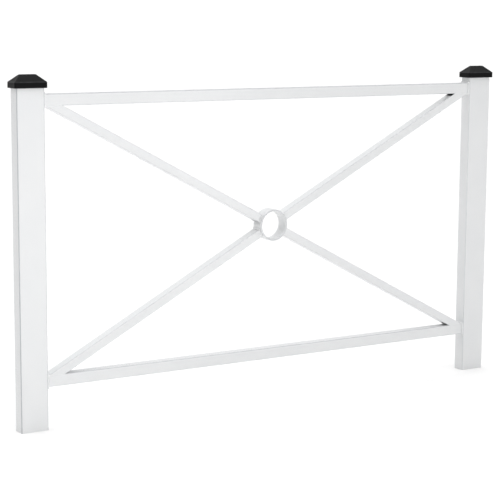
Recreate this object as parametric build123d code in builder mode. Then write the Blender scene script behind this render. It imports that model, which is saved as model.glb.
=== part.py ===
"""Welded street barrier: two posts, two rails, a St Andrew's cross with a centre ring, and two post caps.

Millimetres. +X runs along the barrier, +Z is up, and the front faces -Y.
The origin is on the ground, midway between the posts, and at the middle of their depth.
"""

import os
from math import asin, atan2, cos, degrees, hypot, radians, sin, tan

from build123d import *

# ---- Overall sizes ----------------------------------------------------------------
overall_length = 2000      # over the two posts, along X
post_height = 1160         # cut length of a post, from the ground to the cap's seat

# ---- Posts: rectangular tube, broad side to the front -----------------------------
post_width = 100           # along X
post_depth = 50            # along Y
post_wall = 3
post_corner = 4            # outside corner radius

# ---- Rails: square tube -----------------------------------------------------------
rail_height = 40
rail_depth = 40
rail_wall = 2.5
rail_corner = 3
bottom_rail_gap = 148      # ground to the underside of the bottom rail
top_rail_drop = 20         # cap's seat down to the top of the top rail

# ---- Braces: the four arms of the cross, in line with the rails -------------------
brace_width = 30           # across the arm, as seen from the front
brace_depth = 40
brace_wall = 2
brace_corner = 2.5
brace_tip_gap = 5          # arm's heel to the side of the post, filled with weld
vent_length = 15           # vent in the arm's acute corner, measured along X
drain_length = 16          # slot by the ring, in the lower wall of each upper arm

# ---- Centre ring: a short piece of round tube -------------------------------------
ring_diameter = 114.3
ring_wall = 6.3
ring_length = 50           # along Y; its back rim is flush with the arms, its front rim stands proud
ring_edge = 1.0            # rounded rims

# ---- Post caps: black plastic mouldings -------------------------------------------
cap_overhang = 8.5         # brim past the post, on every side
cap_brim_height = 20
cap_crown_height = 25
cap_top_length = 58        # flat on top of the crown, along X
cap_top_width = 9
cap_corner = 5
cap_brim_edge = 1.5        # rounded lower edge of the brim
cap_skirt_depth = 34       # plug that goes down inside the post
cap_skirt_wall = 2.5
cap_skirt_clearance = 1.2  # plug to the inside of the post
cap_fin_clearance = 0.15   # gripping fins to the inside of the post
cap_skirt_corner = 1.5
cap_fin_height = 1.5
cap_fin_count = 3
cap_core_height = 28       # hollow of the plug, up into the crown from the seat

# ---- Welds ------------------------------------------------------------------------
rail_weld_leg = 6
ring_weld_leg = 4
heel_weld_run = 16         # along the arm's heel wall
heel_weld_rise = 9         # down or up the side of the post
seam_weld_radius = 2.6     # bead laid in the seam between a rail and an arm
weld_proud = 0.8           # flush seams stand this far out of the faces
weld_shy = 0.5             # rail welds stop this far inside the posts' front and back faces
weld_toe = 0.2             # a collar's thin edge still has this thickness

# ---- Worked out from the sizes above ----------------------------------------------
post_centre_x = overall_length / 2 - post_width / 2
span_end_x = overall_length / 2 - post_width          # inner side of a post
ring_back_y = brace_depth / 2
bottom_rail_top = bottom_rail_gap + rail_height
top_rail_top = post_height - top_rail_drop
top_rail_under = top_rail_top - rail_height
cross_z = (bottom_rail_top + top_rail_under) / 2
half_opening = (top_rail_under - bottom_rail_top) / 2

# An arm's heel meets the rail at the tip gap from the post, so its angle follows from its width.
heel_x = span_end_x - brace_tip_gap
brace_angle = degrees(atan2(half_opening, heel_x) + asin(brace_width / 2 / hypot(half_opening, heel_x)))
brace_cut_length = brace_width / sin(radians(brace_angle))   # the arm's cut end, along the rail
acute_x = heel_x - brace_cut_length
ring_radius = ring_diameter / 2
too_long = hypot(half_opening, span_end_x) + brace_cut_length
slot_width = brace_depth - 2 * brace_wall                    # vents and drains, between the front and back walls

SIDES = {"left": -1, "right": 1}
LEVELS = {"lower": -1, "upper": 1}

os.makedirs("parts", exist_ok=True)


def save(part, name):
    """Labels a finished piece and writes it to its own file."""
    part.label = name
    export_step(part, f"parts/{name}.step")


def post_envelope(side):
    """The post as a solid bar, used to trim what is welded to it."""
    with BuildPart() as bar:
        with BuildSketch():
            with Locations((side * post_centre_x, 0)):
                RectangleRounded(post_width, post_depth, post_corner)
        extrude(amount=post_height)
    return bar.part


def rail_envelope(under):
    """A rail as a solid bar, used to trim what is welded to it."""
    with BuildPart() as bar:
        with BuildSketch(Plane.YZ.offset(-span_end_x)):
            with Locations((0, under + rail_height / 2)):
                RectangleRounded(rail_depth, rail_height, rail_corner)
        extrude(amount=2 * span_end_x)
    return bar.part


def arm_plane(side, level, distance=0):
    """Plane across an arm of the cross: its normal runs from the ring's centre out along the arm."""
    angle = radians(brace_angle)
    outward = Vector(side * cos(angle), 0, level * sin(angle))
    origin = Vector(0, 0, cross_z) + outward * distance
    return Plane(origin=origin, x_dir=(0, 1, 0), z_dir=outward)


def rail_face(level):
    """Height of the rail's face that the arms of this level are welded to."""
    return top_rail_under if level > 0 else bottom_rail_top


def arm_envelope(side, level):
    """An arm as a solid bar, square at the ring and cut level at the rail."""
    with BuildPart() as bar:
        with BuildSketch(arm_plane(side, level, ring_radius)):
            RectangleRounded(brace_depth, brace_width, brace_corner)
        extrude(amount=too_long)
        split(bisect_by=Plane.XY.offset(rail_face(level)), keep=Keep.BOTTOM if level > 0 else Keep.TOP)
    return bar.part


def drain_cutter(side):
    """Bar along Y that opens the lower wall of an upper arm, and the weld under it, beside the ring."""
    start = ring_radius - ring_weld_leg
    with BuildPart() as cutter:
        with BuildSketch(arm_plane(side, LEVELS["upper"], start)):
            with Locations((0, -side * brace_width / 2)):
                Rectangle(slot_width, 2 * (ring_weld_leg + brace_wall))
        extrude(amount=ring_weld_leg + drain_length)
    return cutter.part


def collar(root_plane, root_length, leg, depth, width, corner):
    """Fillet weld round a bar that meets a face: straight through the root, then tapering to its toe."""
    with BuildPart() as run:
        with BuildSketch(root_plane):
            RectangleRounded(depth + 2 * leg, width + 2 * leg, corner + leg)
        extrude(amount=root_length)
        with BuildSketch(root_plane.offset(root_length)):
            RectangleRounded(depth + 2 * leg, width + 2 * leg, corner + leg)
        with BuildSketch(root_plane.offset(root_length + leg)):
            RectangleRounded(depth + 2 * weld_toe, width + 2 * weld_toe, corner + weld_toe)
        loft()
    return run.part


# ---- Posts ------------------------------------------------------------------------
for side_name, side in SIDES.items():
    with BuildPart() as post:
        with BuildSketch():
            with Locations((side * post_centre_x, 0)):
                RectangleRounded(post_width, post_depth, post_corner)
                RectangleRounded(
                    post_width - 2 * post_wall,
                    post_depth - 2 * post_wall,
                    post_corner - post_wall,
                    mode=Mode.SUBTRACT,
                )
        extrude(amount=post_height)
    save(post.part, f"{side_name}_post")

# ---- Rails ------------------------------------------------------------------------
for rail_name, rail_under in (("bottom_rail", bottom_rail_gap), ("top_rail", top_rail_under)):
    with BuildPart() as rail:
        with BuildSketch(Plane.YZ.offset(-span_end_x)):
            with Locations((0, rail_under + rail_height / 2)):
                RectangleRounded(rail_depth, rail_height, rail_corner)
                RectangleRounded(
                    rail_depth - 2 * rail_wall,
                    rail_height - 2 * rail_wall,
                    rail_corner - rail_wall,
                    mode=Mode.SUBTRACT,
                )
        extrude(amount=2 * span_end_x)
    save(rail.part, rail_name)

# ---- Centre ring ------------------------------------------------------------------
with BuildPart() as centre_ring:
    with BuildSketch(Plane.XZ.offset(-ring_back_y)):
        with Locations((0, cross_z)):
            Circle(ring_radius)
            Circle(ring_radius - ring_wall, mode=Mode.SUBTRACT)
    extrude(amount=ring_length)
    fillet(centre_ring.edges().filter_by(GeomType.CIRCLE), radius=ring_edge)
save(centre_ring.part, "centre_ring")

# ---- Arms of the cross ------------------------------------------------------------
for level_name, level in LEVELS.items():
    for side_name, side in SIDES.items():
        with BuildPart() as brace:
            with BuildSketch(arm_plane(side, level, ring_radius)):
                RectangleRounded(brace_depth, brace_width, brace_corner)
                RectangleRounded(
                    brace_depth - 2 * brace_wall,
                    brace_width - 2 * brace_wall,
                    brace_corner - brace_wall,
                    mode=Mode.SUBTRACT,
                )
            extrude(amount=too_long)
            split(bisect_by=Plane.XY.offset(rail_face(level)), keep=Keep.BOTTOM if level > 0 else Keep.TOP)
            # Vent: the wall on the acute side stops short of the rail, between the front and back walls.
            with Locations((side * acute_x, 0, rail_face(level))):
                Box(2 * vent_length, slot_width, 2 * vent_length * tan(radians(brace_angle)), mode=Mode.SUBTRACT)
            if level > 0:
                add(drain_cutter(side), mode=Mode.SUBTRACT)
        save(brace.part, f"brace_{level_name}_{side_name}")

# ---- Post caps --------------------------------------------------------------------
skirt_length = post_width - 2 * post_wall - 2 * cap_skirt_clearance
skirt_width = post_depth - 2 * post_wall - 2 * cap_skirt_clearance
fin_reach = cap_skirt_clearance - cap_fin_clearance
fin_pitch = cap_skirt_depth / (cap_fin_count + 1)

for side_name, side in SIDES.items():
    cap_at = (side * post_centre_x, 0)
    with BuildPart() as cap:
        with BuildSketch(Plane.XY.offset(post_height)):
            with Locations(cap_at):
                RectangleRounded(post_width + 2 * cap_overhang, post_depth + 2 * cap_overhang, cap_corner)
        extrude(amount=cap_brim_height)
        fillet(cap.faces().sort_by(Axis.Z)[0].edges(), radius=cap_brim_edge)
        with BuildSketch(Plane.XY.offset(post_height + cap_brim_height)):
            with Locations(cap_at):
                RectangleRounded(post_width + 2 * cap_overhang, post_depth + 2 * cap_overhang, cap_corner)
        with BuildSketch(Plane.XY.offset(post_height + cap_brim_height + cap_crown_height)):
            with Locations(cap_at):
                RectangleRounded(cap_top_length, cap_top_width, cap_top_width / 3)
        loft()
        with BuildSketch(Plane.XY.offset(post_height)):
            with Locations(cap_at):
                RectangleRounded(skirt_length, skirt_width, cap_skirt_corner)
        extrude(amount=-cap_skirt_depth)
        for fin in range(1, cap_fin_count + 1):
            with BuildSketch(Plane.XY.offset(post_height - fin * fin_pitch)):
                with Locations(cap_at):
                    RectangleRounded(skirt_length + 2 * fin_reach, skirt_width + 2 * fin_reach, cap_skirt_corner)
            extrude(amount=cap_fin_height)
        with BuildSketch(Plane.XY.offset(post_height - cap_skirt_depth)):
            with Locations(cap_at):
                Rectangle(skirt_length - 2 * cap_skirt_wall, skirt_width - 2 * cap_skirt_wall)
        with BuildSketch(Plane.XY.offset(post_height + cap_core_height)):
            with Locations(cap_at):
                Rectangle(cap_top_length, cap_top_width)
        loft(mode=Mode.SUBTRACT)
    save(cap.part, f"{side_name}_cap")

# ---- Welds between the rails and the posts ----------------------------------------
# Each is a collar round the rail's end. It stays just inside the posts' front and back faces.
rail_welds = {}
for rail_name, level, rail_under in (("bottom_rail", -1, bottom_rail_gap), ("top_rail", 1, top_rail_under)):
    for side_name, side in SIDES.items():
        root_plane = Plane(
            origin=(side * (span_end_x + post_corner), 0, rail_under + rail_height / 2),
            x_dir=(0, 1, 0),
            z_dir=(-side, 0, 0),
        )
        with BuildPart() as rail_weld:
            add(collar(root_plane, post_corner, rail_weld_leg, rail_depth, rail_height, rail_corner))
            for face in (Plane.XZ, Plane.XZ.reverse()):
                split(bisect_by=face.offset(post_depth / 2 - weld_shy), keep=Keep.BOTTOM)
            add(post_envelope(side), mode=Mode.SUBTRACT)
            add(rail_envelope(rail_under), mode=Mode.SUBTRACT)
            add(arm_envelope(side, level), mode=Mode.SUBTRACT)
        rail_welds[level, side] = rail_weld.part
        save(rail_weld.part, f"weld_{rail_name}_{side_name}")

# ---- Welds between the arms and the ring ------------------------------------------
for level_name, level in LEVELS.items():
    for side_name, side in SIDES.items():
        with BuildPart() as ring_weld:
            root_plane = arm_plane(side, level, ring_radius - ring_weld_leg)
            add(collar(root_plane, ring_weld_leg, ring_weld_leg, brace_depth, brace_width, brace_corner))
            split(bisect_by=Plane.XZ.offset(-ring_back_y - weld_proud), keep=Keep.TOP)
            with BuildSketch(Plane.XZ.offset(-ring_length)):
                with Locations((0, cross_z)):
                    Circle(ring_radius)
            extrude(amount=2 * ring_length, mode=Mode.SUBTRACT)
            add(arm_envelope(side, level), mode=Mode.SUBTRACT)
            if level > 0:
                add(drain_cutter(side), mode=Mode.SUBTRACT)
        save(ring_weld.part, f"weld_ring_{level_name}_{side_name}")

# ---- Welds between the arms and the rails -----------------------------------------
# The heel is filled against the post, and a bead lies in the seam at the front and at the back.
for level_name, level in LEVELS.items():
    face_z = rail_face(level)
    rail_under = top_rail_under if level > 0 else bottom_rail_gap
    heel_run_x = heel_weld_run * cos(radians(brace_angle))
    heel_run_z = heel_weld_run * sin(radians(brace_angle))
    for side_name, side in SIDES.items():
        with BuildPart() as arm_weld:
            with BuildSketch(Plane.XZ.offset(-brace_depth / 2)):
                with BuildLine():
                    Polyline(
                        (side * span_end_x, face_z),
                        (side * span_end_x, face_z - level * heel_weld_rise),
                        (side * (heel_x - heel_run_x), face_z - level * heel_run_z),
                        (side * heel_x, face_z),
                        close=True,
                    )
                make_face()
            extrude(amount=brace_depth)
            seam_y = brace_depth / 2 + weld_proud - seam_weld_radius
            for y in (-seam_y, seam_y):
                with BuildSketch(Plane.YZ.offset(side * acute_x)):
                    with Locations((y, face_z)):
                        Circle(seam_weld_radius)
                extrude(amount=side * (brace_cut_length + brace_tip_gap / 2))
            add(post_envelope(side), mode=Mode.SUBTRACT)
            add(rail_envelope(rail_under), mode=Mode.SUBTRACT)
            add(arm_envelope(side, level), mode=Mode.SUBTRACT)
            add(rail_welds[level, side], mode=Mode.SUBTRACT)
        save(arm_weld.part, f"weld_brace_{level_name}_{side_name}")
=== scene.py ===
# %% [markdown]
# # A welded street barrier
# Two broad posts carry a top and a bottom rail. Between the rails a St Andrew's cross of four arms meets
# a short piece of round tube. Everything is steel tube, welded and then powder coated in satin white, and
# each post is closed by a black moulded cap. The steel comes from the CAD frame: this file gives it its
# coating, lays the rippled weld beads, moulds the caps, and sets up the floor, the light and the camera.

# %% Load the frame
import math

import bpy
from mathutils import Matrix, Vector


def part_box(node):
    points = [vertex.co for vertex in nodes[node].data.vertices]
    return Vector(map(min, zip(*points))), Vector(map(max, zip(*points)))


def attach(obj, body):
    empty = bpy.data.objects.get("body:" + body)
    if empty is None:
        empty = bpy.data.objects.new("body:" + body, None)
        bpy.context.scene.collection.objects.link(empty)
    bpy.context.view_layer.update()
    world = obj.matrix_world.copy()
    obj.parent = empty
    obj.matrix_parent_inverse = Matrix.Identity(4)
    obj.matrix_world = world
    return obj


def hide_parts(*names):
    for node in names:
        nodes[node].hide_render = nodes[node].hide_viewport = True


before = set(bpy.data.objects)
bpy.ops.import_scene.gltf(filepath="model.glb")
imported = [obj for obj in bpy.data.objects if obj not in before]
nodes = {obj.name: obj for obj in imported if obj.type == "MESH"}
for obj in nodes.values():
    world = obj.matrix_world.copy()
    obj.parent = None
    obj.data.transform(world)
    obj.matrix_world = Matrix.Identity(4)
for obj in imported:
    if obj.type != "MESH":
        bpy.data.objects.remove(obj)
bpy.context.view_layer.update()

# %% [markdown]
# ## Sizes read from the frame
# Each piece that is made here sits against a CAD piece, so its place is read from that piece's box. MM
# turns millimetres, in which steelwork is drawn, into Blender's metres.

# %% Places of the posts, rails, arms and ring
MM = 0.001
SIDES = {"left": -1, "right": 1}
LEVELS = {"lower": -1, "upper": 1}

post_low, post_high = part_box("right_post")
rail_low, rail_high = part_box("top_rail")
sill_low, sill_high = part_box("bottom_rail")
ring_low, ring_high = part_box("centre_ring")
arm_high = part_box("brace_upper_right")[1]

inner_x = post_low.x                      # side of a post that the rails are welded to
front_y, back_y = rail_low.y, rail_high.y  # rails and arms share their front and back faces
ring_radius = (ring_high.x - ring_low.x) / 2
cross_z = (ring_high.z + ring_low.z) / 2
heel_x = arm_high.x                       # where an arm's heel meets the rail
arm_width = 30 * MM
POST_WALL, RAIL_WALL, ARM_WALL = 3 * MM, 2.5 * MM, 2 * MM
POST_BEND, RAIL_BEND, ARM_BEND = 4 * MM, 3 * MM, 2.5 * MM      # outside radius of each tube's corners
half_opening = rail_low.z - cross_z
arm_angle = math.atan2(half_opening, heel_x) + math.asin(arm_width / 2 / math.hypot(half_opening, heel_x))
acute_x = heel_x - arm_width / math.sin(arm_angle)
print("arms rise at", round(math.degrees(arm_angle), 2), "degrees")

# %% [markdown]
# ## Helpers for node trees
# Both shader and geometry trees are long lists of nodes and wires. These two functions keep each line of
# them short: one adds a node and fills its inputs, the other wires an output to an input.


# %% Node helpers
def add_node(tree, kind, settings=None, **inputs):
    """Adds a node. Settings are properties. An input is named, with _ for a blank, or numbered, as i0."""
    node = tree.nodes.new(kind)
    for key, value in (settings or {}).items():
        setattr(node, key, value)
    for key, value in inputs.items():
        index = int(key[1:]) if key[0] == "i" and key[1:].isdigit() else key.replace("_", " ")
        if isinstance(value, bpy.types.NodeSocket):
            tree.links.new(value, node.inputs[index])
        else:
            node.inputs[index].default_value = value
    return node


def new_group(name, kind, inputs, outputs):
    """A node group with named sockets. Each input is (name, socket type, default)."""
    group = bpy.data.node_groups.new(name, kind)
    for socket_name, socket_type, default in inputs:
        socket = group.interface.new_socket(socket_name, in_out="INPUT", socket_type=socket_type)
        if default is not None:
            socket.default_value = default
    for socket_name, socket_type in outputs:
        group.interface.new_socket(socket_name, in_out="OUTPUT", socket_type=socket_type)
    return group, group.nodes.new("NodeGroupInput"), group.nodes.new("NodeGroupOutput")


# %% [markdown]
# ## Powder coat
# Powder is sprayed dry and melts into a skin that is never quite flat: up close it has orange peel,
# dimples a millimetre or two across, and a fine grain. The pigment is even, but the skin is a little
# thicker and greyer in broad patches. The group gives a colour, a roughness and a height, and every
# coated material places it with its own values.


# %% Orange peel, shared by the coated steel and the welds
GRAIN_SCALE, PATCH_SCALE = 2600.0, 7.0
GRAIN_SHARE = 0.18           # height of the fine grain beside the orange peel


def powder_skin_group():
    group, inputs, outputs = new_group(
        "powder_skin",
        "ShaderNodeTree",
        [
            ("Pigment", "NodeSocketColor", (0.8, 0.8, 0.8, 1)),
            ("Shade", "NodeSocketColor", (0.7, 0.7, 0.7, 1)),
            ("Peel Scale", "NodeSocketFloat", 450.0),
            ("Roughness", "NodeSocketFloat", 0.35),
        ],
        [("Color", "NodeSocketColor"), ("Roughness", "NodeSocketFloat"), ("Height", "NodeSocketFloat")],
    )
    place = add_node(group, "ShaderNodeTexCoord")
    at = place.outputs["Object"]
    peel = add_node(group, "ShaderNodeTexNoise", Vector=at, Scale=inputs.outputs["Peel Scale"], Detail=2.0)
    grain = add_node(group, "ShaderNodeTexNoise", Vector=at, Scale=GRAIN_SCALE, Detail=1.0)
    patch = add_node(group, "ShaderNodeTexNoise", Vector=at, Scale=PATCH_SCALE, Detail=4.0)
    patch_mask = add_node(
        group,
        "ShaderNodeMapRange",
        Value=patch.outputs["Fac"],
        From_Min=0.35,
        From_Max=0.7,
        To_Min=0.0,
        To_Max=0.6,
    )
    colour = add_node(group, "ShaderNodeMix", {"data_type": "RGBA"}, Factor=patch_mask.outputs["Result"])
    group.links.new(inputs.outputs["Pigment"], colour.inputs[6])
    group.links.new(inputs.outputs["Shade"], colour.inputs[7])
    rough_swing = add_node(
        group,
        "ShaderNodeMapRange",
        Value=grain.outputs["Fac"],
        From_Min=0.3,
        From_Max=0.7,
        To_Min=-0.05,
        To_Max=0.06,
    )
    rough = add_node(
        group,
        "ShaderNodeMath",
        {"operation": "ADD"},
        i0=inputs.outputs["Roughness"],
        i1=rough_swing.outputs["Result"],
    )
    fine = add_node(
        group,
        "ShaderNodeMath",
        {"operation": "MULTIPLY"},
        i0=grain.outputs["Fac"],
        i1=GRAIN_SHARE,
    )
    dimple = add_node(
        group,
        "ShaderNodeMath",
        {"operation": "ADD"},
        i0=peel.outputs["Fac"],
        i1=fine.outputs["Value"],
    )
    group.links.new(colour.outputs[2], outputs.inputs["Color"])
    group.links.new(rough.outputs["Value"], outputs.inputs["Roughness"])
    group.links.new(dimple.outputs["Value"], outputs.inputs["Height"])
    return group


def new_material(name):
    """An empty node material with a Principled BSDF wired to its output."""
    material = bpy.data.materials.new(name)
    material.use_nodes = True
    tree = material.node_tree
    tree.nodes.clear()
    shader = tree.nodes.new("ShaderNodeBsdfPrincipled")
    output = tree.nodes.new("ShaderNodeOutputMaterial")
    tree.links.new(shader.outputs["BSDF"], output.inputs["Surface"])
    return material, tree, shader


powder_skin = powder_skin_group()


# %% [markdown]
# ## Painted shade on a tube
# A tube's rounded corners are painted greyer as painted shade, stronger on the left post than on the right,
# and the ring is greyer towards its cut rims. A bore seen through a vent, where the steel is left uncoated,
# is painted near black as painted shade. One group finds both places on a straight tube from four things:
# its centre, the direction across it, its half sizes and its wall.


# %% Corners and bore of a rectangular tube
def tube_section_group():
    group, inputs, outputs = new_group(
        "tube_section",
        "ShaderNodeTree",
        [
            ("Centre", "NodeSocketVector", (0, 0, 0)),
            ("Across", "NodeSocketVector", (0, 0, 1)),
            ("Half Width", "NodeSocketFloat", 0.02),
            ("Half Depth", "NodeSocketFloat", 0.02),
            ("Wall", "NodeSocketFloat", 0.002),
            ("Bend", "NodeSocketFloat", 0.003),
            ("Pull Back", "NodeSocketFloat", 1.0),
        ],
        [("Corner Shade", "NodeSocketFloat"), ("Bore", "NodeSocketFloat")],
    )
    given = inputs.outputs
    place = add_node(group, "ShaderNodeTexCoord")
    shift = add_node(
        group,
        "ShaderNodeVectorMath",
        {"operation": "SUBTRACT"},
        i0=place.outputs["Object"],
        i1=given["Centre"],
    )
    dot = add_node(
        group,
        "ShaderNodeVectorMath",
        {"operation": "DOT_PRODUCT"},
        i0=shift.outputs["Vector"],
        i1=given["Across"],
    )
    axes = add_node(group, "ShaderNodeSeparateXYZ", Vector=shift.outputs["Vector"])
    corner, bore = None, None
    for distance, half in (
        (dot.outputs["Value"], given["Half Width"]),
        (axes.outputs["Y"], given["Half Depth"]),
    ):
        away = add_node(group, "ShaderNodeMath", {"operation": "ABSOLUTE"}, i0=distance).outputs["Value"]
        bend_from = add_node(group, "ShaderNodeMath", {"operation": "SUBTRACT"}, i0=half, i1=given["Bend"])
        in_bend = add_node(
            group,
            "ShaderNodeMapRange",
            {"interpolation_type": "SMOOTHSTEP"},
            Value=away,
            From_Min=bend_from.outputs["Value"],
            From_Max=half,
        ).outputs["Result"]
        inner = add_node(group, "ShaderNodeMath", {"operation": "SUBTRACT"}, i0=half, i1=given["Wall"])
        lip = add_node(
            group,
            "ShaderNodeMath",
            {"operation": "ADD"},
            i0=inner.outputs["Value"],
            i1=BORE_LIP,
        )
        within = add_node(
            group, "ShaderNodeMath", {"operation": "LESS_THAN"}, i0=away, i1=lip.outputs["Value"]
        ).outputs["Value"]
        if corner is None:
            corner, bore = in_bend, within
        else:
            corner = add_node(
                group, "ShaderNodeMath", {"operation": "MULTIPLY"}, i0=corner, i1=in_bend
            ).outputs["Value"]
            bore = add_node(
                group,
                "ShaderNodeMath",
                {"operation": "MULTIPLY"},
                i0=bore,
                i1=within,
            ).outputs["Value"]
    uneven = add_node(group, "ShaderNodeTexNoise", Vector=place.outputs["Object"], Scale=35.0, Detail=3.0)
    swing = add_node(
        group,
        "ShaderNodeMapRange",
        Value=uneven.outputs["Fac"],
        From_Min=0.3,
        From_Max=0.7,
        To_Min=0.8,
        To_Max=1.4,
    )
    shade_weight = add_node(
        group,
        "ShaderNodeMath",
        {"operation": "MULTIPLY"},
        i0=swing.outputs["Result"],
        i1=given["Pull Back"],
    )
    # painted shade in the tube's corners, made patchy by noise and scaled by each tube's strength
    painted_corner_shade = add_node(
        group,
        "ShaderNodeMath",
        {"operation": "MULTIPLY", "use_clamp": True},
        i0=corner,
        i1=shade_weight.outputs["Value"],
    )
    group.links.new(painted_corner_shade.outputs["Value"], outputs.inputs["Corner Shade"])
    group.links.new(bore, outputs.inputs["Bore"])
    return group


BORE_LIP = 0.4 * MM          # the white coat reaches this far over the edge of a cut; inside it the bore is painted shade
tube_section = tube_section_group()

# %% Coated materials
# EDGE_GREY is painted shade on the tubes' corners, and a grey towards the ring's cut rims
WHITE, SHADE, EDGE_GREY = (0.744, 0.750, 0.754, 1), (0.711, 0.721, 0.730, 1), (0.46, 0.47, 0.49, 1)
BEAD_WHITE, BEAD_SHADE = (0.800, 0.804, 0.809, 1), (0.744, 0.753, 0.763, 1)
# near black painted shade for the inside of a tube, where the steel is also left uncoated
BORE_SHADE = (0.006, 0.006, 0.006, 1)
COAT_PEEL, COAT_ROUGHNESS = 420.0, 0.30
BEAD_PEEL, BEAD_ROUGHNESS = 600.0, 0.24
PEEL_BUMP, PEEL_DEPTH = 0.35, 0.15 * MM
RIM_WIDTH, RIM_GREY = 1.2 * MM, 0.45


def blend(tree, mask, under, colour):
    """The colour laid over another where the mask is one."""
    mix = add_node(tree, "ShaderNodeMix", {"data_type": "RGBA"}, Factor=mask, i6=under, i7=colour)
    return mix.outputs[2]


def coated_material(name, pigment, shade, peel_scale, roughness, section=None, rims=None):
    """Powder coat. A section is a tube's values for tube_section, and rims are a ring's two faces."""
    material, tree, shader = new_material(name)
    skin = add_node(
        tree,
        "ShaderNodeGroup",
        {"node_tree": powder_skin},
        Pigment=pigment,
        Shade=shade,
        Peel_Scale=peel_scale,
        Roughness=roughness,
    )
    colour = skin.outputs["Color"]
    if section:
        tube = add_node(tree, "ShaderNodeGroup", {"node_tree": tube_section}, **section)
        # the tube's rounded corners take painted shade
        colour = blend(tree, tube.outputs["Corner Shade"], colour, EDGE_GREY)
        # the bore seen through a vent is painted near black as painted shade
        colour = blend(tree, tube.outputs["Bore"], colour, BORE_SHADE)
    if rims:
        place = add_node(tree, "ShaderNodeTexCoord")
        axes = add_node(tree, "ShaderNodeSeparateXYZ", Vector=place.outputs["Object"])
        middle, half = (rims[0] + rims[1]) / 2, (rims[1] - rims[0]) / 2
        shift = add_node(tree, "ShaderNodeMath", {"operation": "SUBTRACT"}, i0=axes.outputs["Y"], i1=middle)
        away = add_node(tree, "ShaderNodeMath", {"operation": "ABSOLUTE"}, i0=shift.outputs["Value"])
        rim = add_node(
            tree,
            "ShaderNodeMapRange",
            Value=away.outputs["Value"],
            From_Min=half - RIM_WIDTH,
            From_Max=half,
            To_Max=RIM_GREY,
        )
        colour = blend(tree, rim.outputs["Result"], colour, EDGE_GREY)
    bump = add_node(
        tree,
        "ShaderNodeBump",
        Strength=PEEL_BUMP,
        Distance=PEEL_DEPTH,
        Height=skin.outputs["Height"],
    )
    tree.links.new(colour, shader.inputs["Base Color"])
    tree.links.new(skin.outputs["Roughness"], shader.inputs["Roughness"])
    tree.links.new(bump.outputs["Normal"], shader.inputs["Normal"])
    shader.inputs["IOR"].default_value = 1.5
    return material


def tube_coat(name, centre, across, half_width, half_depth, wall, bend, pull_back):
    section = dict(
        Centre=centre,
        Across=across,
        Half_Width=half_width,
        Half_Depth=half_depth,
        Wall=wall,
        Bend=bend,
        Pull_Back=pull_back,
    )
    return coated_material(f"powder_coat_{name}", WHITE, SHADE, COAT_PEEL, COAT_ROUGHNESS, section)


coated_bead = coated_material("powder_coat_weld", BEAD_WHITE, BEAD_SHADE, BEAD_PEEL, BEAD_ROUGHNESS)

# %% [markdown]
# ## Coat the steel
# The CAD tubes already have the right shape, so they stay, and only their material changes. Each tube's
# material is given that tube's own centre and size, and how strongly painted shade darkens its corners.

# %% Give the coating to the posts, rails, arms and ring
# How much each tube's corners grey.
# Strength of each tube's painted corner shade; the left post's corners are painted darker than the right's.
CORNER_SHADE_STRENGTH = {"left_post": 2.2, "right_post": 0.6, "rail": 1.3, "arm": 0.7}
coats = {
    "centre_ring": coated_material(
        "powder_coat_ring", WHITE, SHADE, COAT_PEEL, COAT_ROUGHNESS, rims=(ring_low.y, ring_high.y)
    )
}
for side_name, side in SIDES.items():
    post_x = side * (post_low.x + post_high.x) / 2
    half_width = (post_high.x - post_low.x) / 2
    name = f"{side_name}_post"
    coats[name] = tube_coat(
        name,
        (post_x, 0, 0),
        (1, 0, 0),
        half_width,
        post_high.y,
        POST_WALL,
        POST_BEND,
        CORNER_SHADE_STRENGTH[name],
    )
for name, low, high in (("top_rail", rail_low, rail_high), ("bottom_rail", sill_low, sill_high)):
    middle, half_width = (low.z + high.z) / 2, (high.z - low.z) / 2
    coats[name] = tube_coat(
        name,
        (0, 0, middle),
        (0, 0, 1),
        half_width,
        high.y,
        RAIL_WALL,
        RAIL_BEND,
        CORNER_SHADE_STRENGTH["rail"],
    )
for rise, slope in ((1, "rising"), (-1, "falling")):
    across = (-rise * math.sin(arm_angle), 0, math.cos(arm_angle))
    coat = tube_coat(
        f"{slope}_arms",
        (0, 0, cross_z),
        across,
        arm_width / 2,
        back_y,
        ARM_WALL,
        ARM_BEND,
        CORNER_SHADE_STRENGTH["arm"],
    )
    for level_name, level in LEVELS.items():
        for side_name, side in SIDES.items():
            if level * side == rise:
                coats[f"brace_{level_name}_{side_name}"] = coat
for name, coat in coats.items():
    steel = nodes[name]
    steel.data.materials.clear()
    steel.data.materials.append(coat)
print("coated", len(coats), "tubes")

# %% [markdown]
# ## Weld beads
# A welder lays a bead as a row of small overlapping puddles, so a bead is a rounded run with a crescent
# ripple every two or three millimetres. That repeats along a path, which is what Geometry Nodes are for:
# the path goes in as a chain of edges, and the tree turns it into a curve, swells and pinches its radius
# once per puddle, lets it wander a little, and sweeps a circle along it.


# %% The bead tree
LEAN = 0.6                   # below one, a ripple rises fast and falls away slowly
THINNEST = 0.93              # a bead's radius between two puddles, as a share of its size
WANDER_SCALE = 160.0


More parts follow.
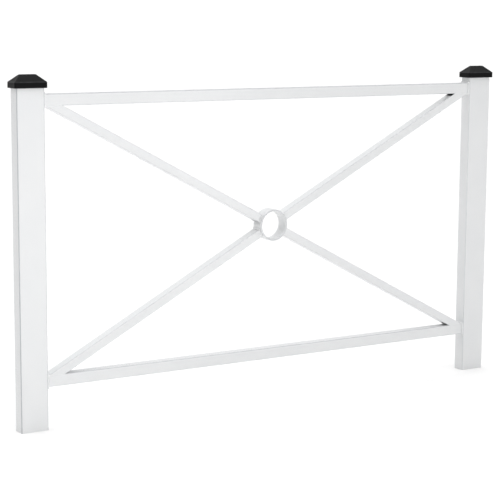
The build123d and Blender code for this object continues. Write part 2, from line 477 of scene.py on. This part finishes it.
def bead_tree():
    tree, inputs, outputs = new_group(
        "weld_bead",
        "GeometryNodeTree",
        [
            ("Geometry", "NodeSocketGeometry", None),
            ("Puddle Pitch", "NodeSocketFloat", 2.4 * MM),
            ("Ripple Depth", "NodeSocketFloat", 0.14),
            ("Wander", "NodeSocketFloat", 0.5 * MM),
            ("Sides", "NodeSocketInt", 14),
            ("Seed", "NodeSocketInt", 1),
            ("Material", "NodeSocketMaterial", None),
        ],
        [("Geometry", "NodeSocketGeometry")],
    )
    given = inputs.outputs
    path = add_node(tree, "GeometryNodeMeshToCurve", Mesh=given["Geometry"])
    step = add_node(tree, "ShaderNodeMath", {"operation": "DIVIDE"}, i0=given["Puddle Pitch"], i1=7.0)
    fine = add_node(tree, "GeometryNodeResampleCurve", {"mode": "LENGTH"}, Curve=path.outputs["Curve"])
    tree.links.new(step.outputs["Value"], fine.inputs["Length"])

    # One ripple per puddle: the radius swells and falls once, as a wave that leans to one side.
    along = add_node(tree, "GeometryNodeSplineParameter")
    count = add_node(
        tree,
        "ShaderNodeMath",
        {"operation": "DIVIDE"},
        i0=along.outputs["Length"],
        i1=given["Puddle Pitch"],
    )
    phase = add_node(tree, "ShaderNodeMath", {"operation": "FRACT"}, i0=count.outputs["Value"])
    lean = add_node(tree, "ShaderNodeMath", {"operation": "POWER"}, i0=phase.outputs["Value"], i1=LEAN)
    arch = add_node(tree, "ShaderNodeMath", {"operation": "MULTIPLY"}, i0=lean.outputs["Value"], i1=math.pi)
    wave = add_node(tree, "ShaderNodeMath", {"operation": "SINE"}, i0=arch.outputs["Value"])
    depth = add_node(
        tree,
        "ShaderNodeMath",
        {"operation": "MULTIPLY"},
        i0=wave.outputs["Value"],
        i1=given["Ripple Depth"],
    )
    swell = add_node(tree, "ShaderNodeMath", {"operation": "ADD"}, i0=depth.outputs["Value"], i1=THINNEST)
    size = add_node(tree, "GeometryNodeInputNamedAttribute", {"data_type": "FLOAT"}, Name="bead_radius")
    radius = add_node(
        tree,
        "ShaderNodeMath",
        {"operation": "MULTIPLY"},
        i0=swell.outputs["Value"],
        i1=size.outputs["Attribute"],
    )

    # An open run starts and stops in a rounded blob, a quarter circle of its own radius.
    whole = add_node(tree, "GeometryNodeSplineLength")
    rest = add_node(
        tree,
        "ShaderNodeMath",
        {"operation": "SUBTRACT"},
        i0=whole.outputs["Length"],
        i1=along.outputs["Length"],
    )
    from_end = add_node(
        tree,
        "ShaderNodeMath",
        {"operation": "MINIMUM"},
        i0=rest.outputs["Value"],
        i1=along.outputs["Length"],
    )
    share = add_node(
        tree,
        "ShaderNodeMath",
        {"operation": "DIVIDE", "use_clamp": True},
        i0=from_end.outputs["Value"],
        i1=size.outputs["Attribute"],
    )
    blob = add_node(
        tree,
        "ShaderNodeMapRange",
        {"interpolation_type": "SMOOTHERSTEP"},
        Value=share.outputs["Value"],
        To_Min=0.25,
    )
    ring = add_node(tree, "GeometryNodeInputSplineCyclic")
    kept = add_node(
        tree,
        "ShaderNodeMath",
        {"operation": "MAXIMUM"},
        i0=blob.outputs["Result"],
        i1=ring.outputs["Cyclic"],
    )
    scale = add_node(
        tree,
        "ShaderNodeMath",
        {"operation": "MULTIPLY"},
        i0=kept.outputs["Value"],
        i1=radius.outputs["Value"],
    )

    # The hand wanders: a slow noise moves the run sideways.
    place = add_node(tree, "GeometryNodeInputPosition")
    noise = add_node(
        tree,
        "ShaderNodeTexNoise",
        {"noise_dimensions": "4D"},
        Vector=place.outputs["Position"],
        W=given["Seed"],
        Scale=WANDER_SCALE,
        Detail=1.0,
    )
    centred = add_node(tree, "ShaderNodeVectorMath", {"operation": "SUBTRACT"}, i0=noise.outputs["Color"])
    centred.inputs[1].default_value = (0.5, 0.5, 0.5)
    shift = add_node(tree, "ShaderNodeVectorMath", {"operation": "SCALE"}, i0=centred.outputs["Vector"])
    tree.links.new(given["Wander"], shift.inputs["Scale"])
    wandered = add_node(
        tree, "GeometryNodeSetPosition", Geometry=fine.outputs["Curve"], Offset=shift.outputs["Vector"]
    )

    circle = add_node(tree, "GeometryNodeCurvePrimitiveCircle", Resolution=given["Sides"], Radius=1.0)
    swept = add_node(
        tree,
        "GeometryNodeCurveToMesh",
        Curve=wandered.outputs["Geometry"],
        Profile_Curve=circle.outputs["Curve"],
        Scale=scale.outputs["Value"],
        Fill_Caps=True,
    )
    smooth = add_node(tree, "GeometryNodeSetShadeSmooth", Geometry=swept.outputs["Mesh"])
    real = add_node(tree, "GeometryNodeRealizeInstances", Geometry=smooth.outputs["Geometry"])
    painted = add_node(
        tree, "GeometryNodeSetMaterial", Geometry=real.outputs["Geometry"], Material=given["Material"]
    )
    tree.links.new(painted.outputs["Geometry"], outputs.inputs["Geometry"])
    return tree


def path_mesh(name, paths):
    """Chains of edges, each a list of (point, bead radius). A path that ends where it starts is closed."""
    points, edges, sizes = [], [], []
    for path in paths:
        closed = (Vector(path[0][0]) - Vector(path[-1][0])).length < 1e-6
        run = path[:-1] if closed else path
        first = len(points)
        points += [tuple(p) for p, _ in run]
        sizes += [r for _, r in run]
        edges += [(first + i, first + i + 1) for i in range(len(run) - 1)]
        if closed:
            edges.append((first + len(run) - 1, first))
    mesh = bpy.data.meshes.new(name)
    mesh.from_pydata(points, edges, [])
    attribute = mesh.attributes.new("bead_radius", "FLOAT", "POINT")
    attribute.data.foreach_set("value", sizes)
    return mesh


def run_tree(name, mesh, tree, values):
    """Runs a geometry tree on a mesh and returns the result as a plain mesh object at the origin."""
    source = bpy.data.objects.new(name + "_source", mesh)
    bpy.context.scene.collection.objects.link(source)
    modifier = source.modifiers.new("nodes", "NODES")
    modifier.node_group = tree
    for item in tree.interface.items_tree:
        if item.item_type == "SOCKET" and item.in_out == "INPUT" and item.name in values:
            modifier[item.identifier] = values[item.name]
    graph = bpy.context.evaluated_depsgraph_get()
    result = bpy.data.meshes.new_from_object(source.evaluated_get(graph))
    source.modifiers.remove(modifier)
    bpy.data.objects.remove(source)
    piece = bpy.data.objects.new(name, result)
    bpy.context.scene.collection.objects.link(piece)
    return piece


weld_bead = bead_tree()


def lay_bead(name, node, paths, seed):
    """Lays beads along the paths, as the piece that stands for a CAD weld."""
    piece = run_tree(name, path_mesh(name, paths), weld_bead, {"Seed": seed, "Material": coated_bead})
    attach(piece, "root")
    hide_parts(node)
    print(name, len(piece.data.polygons), "faces")


# %% [markdown]
# ## Beads round the rails' ends
# A rail is narrower than the post that it meets, so one closed bead fills the corner all the way round
# its end.


# %% Lay the rail beads
RAIL_BEAD = 4.3 * MM
CORNER_OFFSET = 1.0 * MM     # centre of a bead from the rail's faces
POST_OFFSET = 2.2 * MM       # and from the side of the post
FLUSH_PROUD = 0.7 * MM       # a flush bead stands this far out of the faces
BEND_RADIUS = 3.0 * MM
BEND_STEPS = 5


def rounded_loop(low, high, radius):
    """Corners (y, z) of a closed rounded rectangle, starting and ending at the same point."""
    centres = [
        (high[0] - radius, high[1] - radius, 0),
        (low[0] + radius, high[1] - radius, 90),
        (low[0] + radius, low[1] + radius, 180),
        (high[0] - radius, low[1] + radius, 270),
    ]
    loop = []
    for cy, cz, start in centres:
        for i in range(BEND_STEPS + 1):
            turn = math.radians(start + 90 * i / BEND_STEPS)
            loop.append((cy + radius * math.cos(turn), cz + radius * math.sin(turn)))
    return loop + loop[:1]


for rail_name, low, high, seed in (
    ("bottom_rail", sill_low, sill_high, 3),
    ("top_rail", rail_low, rail_high, 7),
):
    for side_name, side in SIDES.items():
        loop = rounded_loop(
            (front_y - CORNER_OFFSET, low.z - CORNER_OFFSET),
            (back_y + CORNER_OFFSET, high.z + CORNER_OFFSET),
            BEND_RADIUS,
        )
        x = side * (inner_x - POST_OFFSET)
        path = [((x, y, z), RAIL_BEAD) for y, z in loop]
        lay_bead(f"bead_{rail_name}_{side_name}", f"weld_{rail_name}_{side_name}", [path], seed + side)

# %% [markdown]
# ## Beads where the arms meet the ring
# The arms are cut square and the ring is round, so the gap opens towards the arm's edges and the bead
# follows the ring's curve across the front and the back. Under each upper arm the seam is left open as a
# drain.


# %% Lay the ring beads
RING_BEAD = 3.2 * MM
RING_OFFSET = 1.0 * MM
RING_SEED = 11


def arm_point(side, level, along, across, y):
    """A point on an arm: along it from the ring's centre, and across it towards its upper edge."""
    cosine, sine = math.cos(arm_angle), math.sin(arm_angle)
    return (
        side * (along * cosine - level * across * sine),
        y,
        cross_z + level * along * sine + across * cosine,
    )


def ring_path(side, level):
    half = arm_width / 2 + RING_OFFSET
    y_front = front_y - RING_OFFSET
    y_back = back_y + FLUSH_PROUD - RING_BEAD
    steps = 8
    across = [half * (2 * i / steps - 1) for i in range(steps + 1)]
    front = [(v, y_front) for v in across]
    top = [(half, y_front + (y_back - y_front) * i / steps) for i in range(1, steps)]
    back = [(v, y_back) for v in reversed(across)]
    loop = front + top + back
    if level < 0:
        loop = loop + [(-half, y_back + (y_front - y_back) * i / steps) for i in range(1, steps)] + loop[:1]
    path = []
    for v, y in loop:
        along = math.sqrt(ring_radius**2 - v**2) + RING_OFFSET
        path.append((arm_point(side, level, along, v, y), RING_BEAD))
    return path


for level_name, level in LEVELS.items():
    for side_name, side in SIDES.items():
        name = f"ring_{level_name}_{side_name}"
        lay_bead(f"bead_{name}", f"weld_{name}", [ring_path(side, level)], RING_SEED + side + 3 * level)

# %% [markdown]
# ## Beads where the arms meet the rails
# Each arm's heel is filled against the post, and a thin bead lies in the seam at the front and at the
# back, from the heel to the arm's sharp corner.


# %% Lay the arm beads
HEEL_BEAD = 4.6 * MM
SEAM_BEAD = 2.6 * MM
SEAM_REACH = 2 * MM          # a seam runs this far past the arm, away from the cross
HEEL_DROP = 3.2 * MM         # heel bead from the rail's face
HEEL_FRONT, HEEL_BACK = 0.7, 0.8                        # ends of the heel bead inside the faces, in radii
ARM_SEED = 23
for level_name, level in LEVELS.items():
    face_z = rail_low.z if level > 0 else sill_high.z
    for side_name, side in SIDES.items():
        y_front = front_y - FLUSH_PROUD + SEAM_BEAD
        y_back = back_y + FLUSH_PROUD - SEAM_BEAD
        tip = side * (acute_x + SEAM_REACH)
        heel = side * (heel_x + SEAM_REACH)
        low_z = face_z - level * HEEL_DROP
        heel_ends = (front_y + HEEL_BEAD * HEEL_FRONT, back_y - HEEL_BEAD * HEEL_BACK)
        heel_path = [((heel, y, low_z), HEEL_BEAD) for y in heel_ends]
        seams = [[((tip, y, face_z), SEAM_BEAD), ((heel, y, face_z), SEAM_BEAD)] for y in (y_front, y_back)]
        name = f"brace_{level_name}_{side_name}"
        lay_bead(f"bead_{name}", f"weld_{name}", [heel_path] + seams, ARM_SEED + side + 3 * level)

# %% [markdown]
# ## Post caps
# A cap is one injection moulding in black plastic: a brim with softly rounded edges, a hipped crown with
# a small raised flat on top, and a finned hollow plug that grips inside the post. It is lofted here from
# rounded rectangles, one after another, so that every edge has its moulded radius. An attribute marks
# those edges. They are painted lighter, partly as wear from handling and partly as a painted highlight, and
# they are glossier.

# %% Black plastic
# the lighter edge colour is partly wear and partly a painted highlight
MOULDED_BLACK, WORN_EDGE_AND_HIGHLIGHT = (0.0022, 0.0022, 0.0025, 1), (0.030, 0.030, 0.032, 1)


def cap_material():
    material, tree, shader = new_material("cap_plastic_black")
    place = add_node(tree, "ShaderNodeTexCoord")
    at = place.outputs["Object"]
    grain = add_node(tree, "ShaderNodeTexNoise", Vector=at, Scale=1500.0, Detail=3.0)
    cloud = add_node(tree, "ShaderNodeTexNoise", Vector=at, Scale=45.0, Detail=5.0)
    scuff = add_node(
        tree,
        "ShaderNodeMapRange",
        Value=cloud.outputs["Fac"],
        From_Min=0.35,
        From_Max=0.65,
        To_Min=0.4,
        To_Max=1.0,
    )
    edge = add_node(tree, "ShaderNodeAttribute", {"attribute_name": "moulded_edge"})
    wear_and_highlight = add_node(
        tree,
        "ShaderNodeMath",
        {"operation": "MULTIPLY"},
        i0=edge.outputs["Fac"],
        i1=scuff.outputs["Result"],
    )
    # edges are painted lighter: partly wear, partly painted highlight
    tone = add_node(tree, "ShaderNodeMix", {"data_type": "RGBA"}, Factor=wear_and_highlight.outputs["Value"])
    tone.inputs[6].default_value = MOULDED_BLACK
    tone.inputs[7].default_value = WORN_EDGE_AND_HIGHLIGHT
    rough = add_node(
        tree,
        "ShaderNodeMapRange",
        Value=cloud.outputs["Fac"],
        From_Min=0.3,
        From_Max=0.8,
        To_Min=0.40,
        To_Max=0.55,
    )
    polished = add_node(
        tree,
        "ShaderNodeMath",
        {"operation": "MULTIPLY"},
        i0=wear_and_highlight.outputs["Value"],
        i1=-0.14,
    )
    gloss = add_node(
        tree,
        "ShaderNodeMath",
        {"operation": "ADD"},
        i0=rough.outputs["Result"],
        i1=polished.outputs["Value"],
    )
    bump = add_node(tree, "ShaderNodeBump", Strength=0.4, Distance=0.08 * MM, Height=grain.outputs["Fac"])
    tree.links.new(tone.outputs[2], shader.inputs["Base Color"])
    tree.links.new(gloss.outputs["Value"], shader.inputs["Roughness"])
    tree.links.new(bump.outputs["Normal"], shader.inputs["Normal"])
    shader.inputs["IOR"].default_value = 1.46
    shader.inputs["Specular IOR Level"].default_value = 0.12
    return material


cap_plastic = cap_material()

# %% Outline of a cap
POST_X, POST_Y = 50 * MM, 25 * MM                       # half sizes of the post
cap_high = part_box("right_cap")[1]
overhang = cap_high.y - POST_Y
seat_z = post_high.z
crown_z = cap_high.z
BRIM_Z = 20 * MM             # brim height, over the seat
TOP_X, TOP_Y = 29 * MM, 4.5 * MM                        # half sizes of the flat on top
STEP = 1.0 * MM              # the flat is raised this much over the crown's slopes
BRIM_RADIUS, LIP_RADIUS, STEP_RADIUS = 3.0 * MM, 1.5 * MM, 0.6 * MM
CORNER, TOP_CORNER = 6.0 * MM, 1.6 * MM
ARC_STEPS = 5
SKIRT_GAP, SKIRT_WALL, SKIRT_DEPTH = 1.2 * MM, 2.5 * MM, 34 * MM
FIN_REACH, FIN_HEIGHT, FINS = 1.05 * MM, 1.5 * MM, 3
CORE_Z = 28 * MM
BRIM_SUPPORT = 1.5 * MM      # extra rings this far inside the brim's edges keep its side flat
SLOPE_SHARES = (0.06, 0.5, 0.94)


def cap_rings():
    """The cap from its top down and back up into its plug: (half x, half y, corner, height, edge)."""
    brim_x, brim_y = POST_X + overhang, POST_Y + overhang
    peak = crown_z - seat_z
    slope = math.atan2(peak - BRIM_Z, brim_x - TOP_X)
    rings = []
    for i in range(ARC_STEPS + 1):                      # the raised flat's rounded rim
        turn = math.radians(90 - 90 * i / ARC_STEPS)
        inset = STEP_RADIUS * (1 - math.cos(turn))
        rings.append(
            (TOP_X - inset, TOP_Y - inset, TOP_CORNER, peak - STEP_RADIUS * (1 - math.sin(turn)), 1),
        )
    rings.append((TOP_X, TOP_Y, TOP_CORNER, peak - STEP, 0.3))
    reach = STEP / math.tan(slope)
    rings.append((TOP_X + reach, TOP_Y + reach, TOP_CORNER, peak - STEP, 0))
    tangent = math.pi / 2 - slope
    shoulder_x = BRIM_RADIUS * (1 - math.cos(tangent))
    shoulder_z = peak - (brim_x - shoulder_x - TOP_X) * math.tan(slope)
    for share in SLOPE_SHARES:                          # the crown's slope
        half_x = TOP_X + reach + (brim_x - shoulder_x - TOP_X - reach) * share
        half_y = TOP_Y + reach + (brim_y - shoulder_x - TOP_Y - reach) * share
        height = peak - STEP + (shoulder_z - peak + STEP) * share
        rings.append((half_x, half_y, TOP_CORNER + (CORNER - TOP_CORNER) * share, height, 0))
    centre_z = shoulder_z - BRIM_RADIUS * math.sin(tangent)
    for i in range(ARC_STEPS + 1):                      # the brim's upper edge
        turn = tangent * (1 - i / ARC_STEPS)
        inset = BRIM_RADIUS * (1 - math.cos(turn))
        rings.append((brim_x - inset, brim_y - inset, CORNER, centre_z + BRIM_RADIUS * math.sin(turn), 1))
    rings.append((brim_x, brim_y, CORNER, centre_z - BRIM_SUPPORT, 0))
    rings.append((brim_x, brim_y, CORNER, LIP_RADIUS + BRIM_SUPPORT, 0))
    for i in range(ARC_STEPS + 1):                      # its lower edge
        turn = math.radians(90 * i / ARC_STEPS)
        inset = LIP_RADIUS * (1 - math.cos(turn))
        rings.append((brim_x - inset, brim_y - inset, CORNER, LIP_RADIUS * (1 - math.sin(turn)), 1))
    skirt_x, skirt_y = POST_X - POST_WALL - SKIRT_GAP, POST_Y - POST_WALL - SKIRT_GAP
    rings.append((skirt_x, skirt_y, TOP_CORNER, 0, 0))
    for fin in range(FINS):
        under = -SKIRT_DEPTH * (fin + 1) / (FINS + 1)
        for out, z in ((0, FIN_HEIGHT), (FIN_REACH, FIN_HEIGHT), (FIN_REACH, 0), (0, 0)):
            rings.append((skirt_x + out, skirt_y + out, TOP_CORNER, under + z, 0))
    rings.append((skirt_x, skirt_y, TOP_CORNER, -SKIRT_DEPTH, 0))
    rings.append((skirt_x - SKIRT_WALL, skirt_y - SKIRT_WALL, TOP_CORNER, -SKIRT_DEPTH, 0))
    rings.append((TOP_X, TOP_Y, TOP_CORNER, CORE_Z, 0))
    return rings


# %% Mould the caps
SUPPORT = 1.2 * MM           # extra points this far before each corner keep the flat sides flat
SHARP_ANGLE = math.radians(35)


def outline(half_x, half_y, radius):
    """Points of a rounded rectangle, anticlockwise, with support points on its straight sides."""
    points = []
    for quarter in range(4):
        cx = (half_x - radius) * (1 if quarter in (0, 3) else -1)
        cy = (half_y - radius) * (1 if quarter in (0, 1) else -1)
        start = quarter * math.pi / 2
        first, last = Vector((math.cos(start), math.sin(start))), Vector(
            (-math.sin(start), math.cos(start)),
        )
        centre = Vector((cx, cy))
        points.append(centre + first * radius - last * SUPPORT)
        for i in range(ARC_STEPS + 1):
            turn = start + i * math.pi / 2 / ARC_STEPS
            points.append(centre + Vector((math.cos(turn), math.sin(turn))) * radius)
        points.append(centre + last * radius - first * SUPPORT)
    return points


def mould_cap(side_name, side):
    centre_x = side * (post_low.x + post_high.x) / 2
    vertices, faces, edges = [], [], []
    rings = cap_rings()
    for half_x, half_y, radius, height, edge in rings:
        for point in outline(half_x, half_y, radius):
            vertices.append((centre_x + point.x, point.y, seat_z + height))
            edges.append(edge)
    count = len(vertices) // len(rings)
    for ring in range(len(rings) - 1):
        for i in range(count):
            upper, lower = ring * count, (ring + 1) * count
            follow = (i + 1) % count
            faces.append((upper + i, lower + i, lower + follow, upper + follow))
    last = (len(rings) - 1) * count
    faces.append(tuple(range(count)))
    faces.append(tuple(last + i for i in reversed(range(count))))
    mesh = bpy.data.meshes.new(f"cap_{side_name}")
    mesh.from_pydata(vertices, [], faces)
    mesh.shade_smooth()
    mesh.set_sharp_from_angle(angle=SHARP_ANGLE)
    attribute = mesh.attributes.new("moulded_edge", "FLOAT", "POINT")
    attribute.data.foreach_set("value", edges)
    mesh.materials.append(cap_plastic)
    cap = bpy.data.objects.new(f"cap_{side_name}", mesh)
    bpy.context.scene.collection.objects.link(cap)
    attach(cap, "root")
    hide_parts(f"{side_name}_cap")
    print(cap.name, len(mesh.polygons), "faces")


for side_name, side in SIDES.items():
    mould_cap(side_name, side)

# %% [markdown]
# ## Floor
# The barrier stands on a plain floor that is nearly white, so that white steel reads against a white
# room. The floor is a stage and not part of the barrier.


# %% Floor
FLOOR_WHITE, FLOOR_REACH = (0.95, 0.945, 0.94, 1), 60.0


def make_floor():
    mesh = bpy.data.meshes.new("floor")
    reach = FLOOR_REACH
    mesh.from_pydata(
        [(-reach, -reach, 0), (reach, -reach, 0), (reach, reach, 0), (-reach, reach, 0)],
        [],
        [(0, 1, 2, 3)],
    )
    floor = bpy.data.objects.new("floor", mesh)
    bpy.context.scene.collection.objects.link(floor)
    material, tree, shader = new_material("pale_floor")
    shader.inputs["Base Color"].default_value = FLOOR_WHITE
    shader.inputs["Roughness"].default_value = 0.9
    shader.inputs["Specular IOR Level"].default_value = 0.1
    floor.data.materials.append(material)
    return floor


make_floor()

# %% [markdown]
# ## Light
# White steel in a white room shows its shape only by small steps of grey. Most of the light comes from
# overhead, so tops are brighter than sides. Two dark stretches of wall, one behind the camera and one
# past the right post, keep the sides a little darker, and two upright softboxes brighten the fronts. A
# direct look at the sky is plain white, by way of Light Path, so the backdrop does not show how the sky
# is lit.


# %% Light
scene = bpy.context.scene
scene.view_settings.view_transform = "Standard"


def studio_world():
    """White overhead, dimmer round the sides, with two dark stretches of wall."""
    world = bpy.data.worlds.new("studio")
    world.use_nodes = True
    sky = world.node_tree
    sky.nodes.clear()
    way = add_node(sky, "ShaderNodeTexCoord").outputs["Generated"]
    axes = add_node(sky, "ShaderNodeSeparateXYZ", Vector=way)
    glow = add_node(
        sky,
        "ShaderNodeMapRange",
        {"interpolation_type": "SMOOTHSTEP"},
        Value=axes.outputs["Z"],
        From_Min=SKY_FROM,
        From_Max=SKY_FULL,
        To_Min=SIDE_GLOW,
        To_Max=TOP_GLOW,
    ).outputs["Result"]
    for direction, edge, core, left in DARK_WALLS:
        dot = add_node(sky, "ShaderNodeVectorMath", {"operation": "DOT_PRODUCT"}, i0=way, i1=direction)
        fade = add_node(
            sky,
            "ShaderNodeMapRange",
            {"interpolation_type": "SMOOTHSTEP"},
            Value=dot.outputs["Value"],
            From_Min=edge,
            From_Max=core,
            To_Min=1.0,
            To_Max=left,
        )
        glow = add_node(
            sky, "ShaderNodeMath", {"operation": "MULTIPLY"}, i0=glow, i1=fade.outputs["Result"]
        ).outputs["Value"]
    path = add_node(sky, "ShaderNodeLightPath")
    strength = add_node(
        sky, "ShaderNodeMix", {"data_type": "FLOAT"}, i0=path.outputs["Is Camera Ray"], i2=glow, i3=BACKDROP
    )
    background = add_node(sky, "ShaderNodeBackground", Color=SKY_TINT, Strength=strength.outputs[0])
    sky_out = sky.nodes.new("ShaderNodeOutputWorld")
    sky.links.new(background.outputs["Background"], sky_out.inputs["Surface"])
    return world


SKY_FROM, SKY_FULL = 0.15, 0.9
SIDE_GLOW, TOP_GLOW = 0.60, 1.70
BACKDROP = 1.1
SKY_TINT = (0.990, 0.995, 1.0, 1)
# Each wall: its direction, the cosines where it starts and is darkest, and the light left there.
DARK_WALLS = (
    ((-0.60, -0.80, 0.0), 0.30, 0.90, 0.08),
    ((0.99, 0.14, 0.0), 0.60, 0.92, 0.10),
)
scene.world = studio_world()


def softbox(name, place, width, height, power):
    """An upright rectangular light that faces +Y, towards the barrier."""
    light = bpy.data.lights.new(name, "AREA")
    light.shape = "RECTANGLE"
    light.size, light.size_y = width, height
    light.energy = power
    lamp = bpy.data.objects.new(name, light)
    lamp.location = place
    lamp.rotation_euler = (math.radians(90), 0, 0)
    lamp.visible_camera = False
    scene.collection.objects.link(lamp)


softbox("left_strip", (-1.1, -1.4, 1.0), 0.3, 1.9, 7.0)
softbox("right_strip", (0.70, -1.7, 0.9), 0.3, 1.7, 5.0)

# %% [markdown]
# ## Camera
# The camera stands to the left of the barrier at eye height and looks slightly down, through a long lens,
# so the left post is larger than the right one. Its turn is built from three directions: right, up and
# forward.

# %% Camera
CAMERA_AT = (-3.1229, -4.8908, 1.4382)
CAMERA_LENS, CAMERA_SENSOR = 115.596, 36                # millimetres
CAMERA_YAW, CAMERA_PITCH, CAMERA_ROLL = 31.858, 8.718, 0.370   # degrees right, down and clockwise
camera_data = bpy.data.cameras.new("camera")
camera_data.lens = CAMERA_LENS
camera_data.sensor_width = CAMERA_SENSOR
camera_data.clip_end = 300
camera = bpy.data.objects.new("camera", camera_data)
scene.collection.objects.link(camera)
yaw, pitch, roll = (math.radians(a) for a in (CAMERA_YAW, CAMERA_PITCH, CAMERA_ROLL))
forward = Vector((math.sin(yaw) * math.cos(pitch), math.cos(yaw) * math.cos(pitch), -math.sin(pitch)))
level_right = Vector((math.cos(yaw), -math.sin(yaw), 0))
level_up = level_right.cross(forward)
right = level_right * math.cos(roll) + level_up * math.sin(roll)
up = -level_right * math.sin(roll) + level_up * math.cos(roll)
turned = Matrix((right, up, -forward)).transposed().to_4x4()
camera.matrix_world = Matrix.Translation(CAMERA_AT) @ turned
scene.camera = camera

# %% [markdown]
# ## Finish
# The view layer is brought up to date. The finished model must stay inside the box that the CAD frame
# had when it was loaded.

# %% Finish
bpy.context.view_layer.update()
